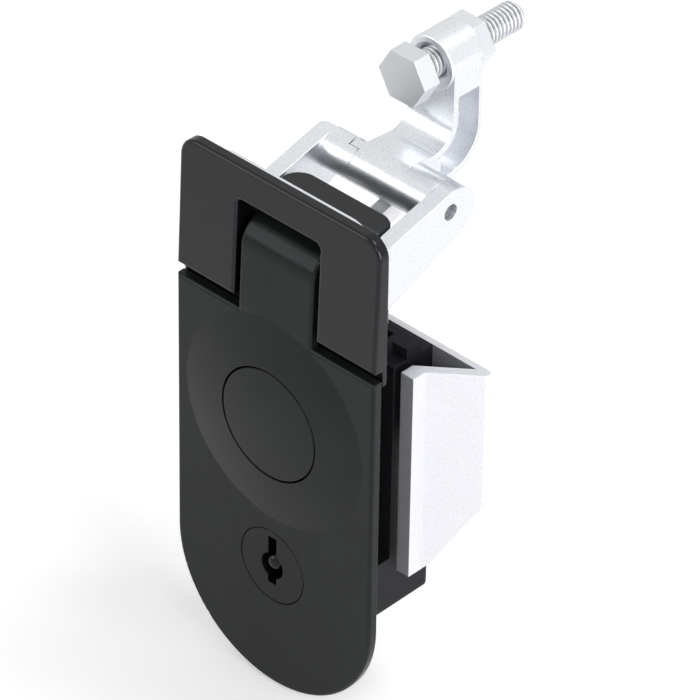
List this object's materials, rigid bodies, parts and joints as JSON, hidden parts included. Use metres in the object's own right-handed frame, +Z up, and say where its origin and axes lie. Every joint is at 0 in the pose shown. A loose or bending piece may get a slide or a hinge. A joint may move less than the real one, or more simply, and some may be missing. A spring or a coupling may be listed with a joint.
{
  "type": "lever latch",
  "caption": "Flush panel lever latch with push button, key lock, swinging pawl with adjusting bolt, pivot bracket and rear clamp bracket.",
  "frame": {"origin": "on the panel's front face, in line with the push button's axis", "axes": "+X right, +Y through the panel to the rear, +Z up along the handle towards the pawl"},
  "size_m": [0.0654, 0.0651, 0.1276],
  "materials": {
    "front_black": "gloss black",
    "handle_black": "satin black powder coat",
    "button_black": "satin black powder coat",
    "housing_black": "fine textured black",
    "bracket_silver": "tumbled bright die casting",
    "pawl_silver": "tumbled bright die casting",
    "clamp_silver": "zinc plated",
    "bolt_steel": "zinc plated",
    "nut_steel": "zinc plated",
    "screw_steel": "zinc plated",
    "pin_steel": "ground",
    "spring_steel": "spring temper",
    "barrel_zinc": "die cast zinc",
    "lock_black": "satin black",
    "wafer_brass": "stamped",
    "shutter_steel": "bright",
    "cam_steel": "zinc plated",
    "link_silver": "zinc plated"
  },
  "bodies": {
    "frame": {"front_plate": "front_black", "housing_body": "housing_black", "pivot_bracket": "bracket_silver", "bracket_screws": "screw_steel", "body_screws": "screw_steel", "clamp_bracket": "clamp_silver", "clamp_screws": "screw_steel", "hinge_pin": "pin_steel", "hinge_spring": "spring_steel", "pivot_pin": "pin_steel", "spring_catch": "spring_steel", "catch_rivet": "pin_steel"},
    "lever": {"handle": "handle_black", "crank_pin": "pin_steel", "lock_barrel": "barrel_zinc", "barrel_clip": "spring_steel"},
    "button": {"push_button": "button_black", "button_spring": "spring_steel", "release_plate": "cam_steel", "release_screw": "screw_steel"},
    "lock": {"lock_plug": "lock_black", "lock_wafers": "wafer_brass", "key_shutter": "shutter_steel", "lock_cam": "cam_steel", "cam_screw": "screw_steel"},
    "link": {"drive_link": "link_silver"},
    "pawl_arm": {"pawl": "pawl_silver", "tail_pin": "pin_steel", "adjusting_bolt": "bolt_steel", "lock_nut": "nut_steel"}
  },
  "joints": [
    {"name": "handle_swing", "type": "hinge", "parent": "frame", "child": "lever", "pos_m": [0, 0.00175, 0.03485], "axis": [-1, 0, 0], "range_deg": [0, 90], "deforming": ["spring_catch"]},
    {"name": "pawl_swing", "type": "hinge", "parent": "frame", "child": "pawl_arm", "pos_m": [0, 0.0239, 0.0408], "axis": [-1, 0, 0], "range_deg": [0, 90]},
    {"name": "link_swing", "type": "hinge", "parent": "lever", "child": "link", "pos_m": [0, 0.00811, 0.02849], "axis": [-1, 0, 0], "range_deg": [-90, 0]},
    {"name": "button_push", "type": "slide", "parent": "lever", "child": "button", "axis": [0, 1, 0], "range_m": [0, 0.0025], "stiffness_N_per_m": 700, "springref_m": -0.001, "deforming": ["button_spring", "spring_catch"]},
    {"name": "lock_turn", "type": "hinge", "parent": "lever", "child": "lock", "pos_m": [0, 0, -0.03385], "axis": [0, 1, 0], "range_deg": [0, 90], "deforming": ["spring_catch"]}
  ],
  "couplings": [
    {"joint": "pawl_swing", "follows": "handle_swing", "ratio": 1},
    {"joint": "link_swing", "follows": "handle_swing", "ratio": -1}
  ]
}
